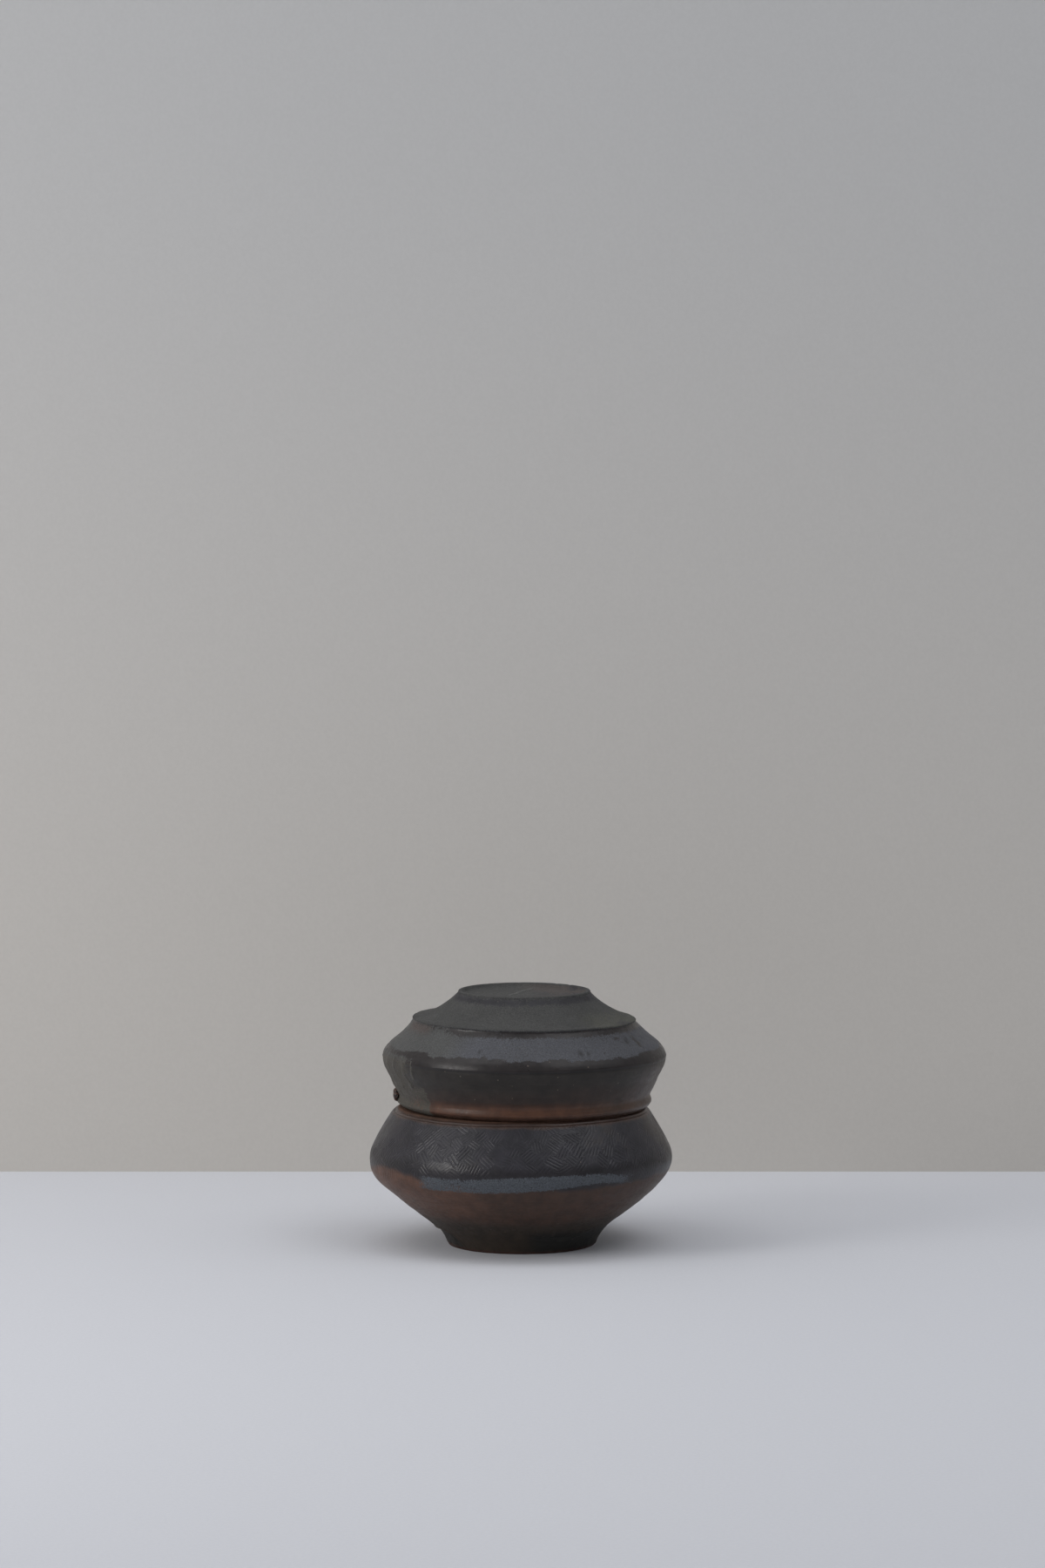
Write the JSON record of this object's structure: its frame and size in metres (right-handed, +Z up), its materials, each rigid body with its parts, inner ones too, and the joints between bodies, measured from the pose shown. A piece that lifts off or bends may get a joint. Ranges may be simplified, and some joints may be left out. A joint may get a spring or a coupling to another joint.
{
  "type": "lidded stoneware jar",
  "caption": "Low wide-bellied stoneware storage jar on a narrow foot, with a ridged bowl-shaped lid that drops over a collar around the mouth and lifts off.",
  "frame": {"origin": "on the ground at the centre of the jar's foot", "axes": "+Z up, +X to the right and -Y to the front as the jar is seen; the lid lies 1.5 mm off centre towards +X and the kiln crumb is on its -X side"},
  "size_m": [0.14, 0.14, 0.1177],
  "materials": {
    "jar_stoneware": "dark iron-brown wood-fired body, blue-black satin sheen over paddle marks on the shoulder, coppery brown below",
    "lid_stoneware": "matte grey ash on top, satin brown-black belly and red-brown rim",
    "kiln_debris": "rough fused grit"
  },
  "bodies": {
    "jar": {"jar": "jar_stoneware"},
    "lid": {"lid": "lid_stoneware", "kiln_crumb": "kiln_debris"}
  },
  "joints": [
    {"name": "lid_lift", "type": "slide", "parent": "jar", "child": "lid", "axis": [0, 0, 1], "range_m": [0, 0.08]}
  ]
}
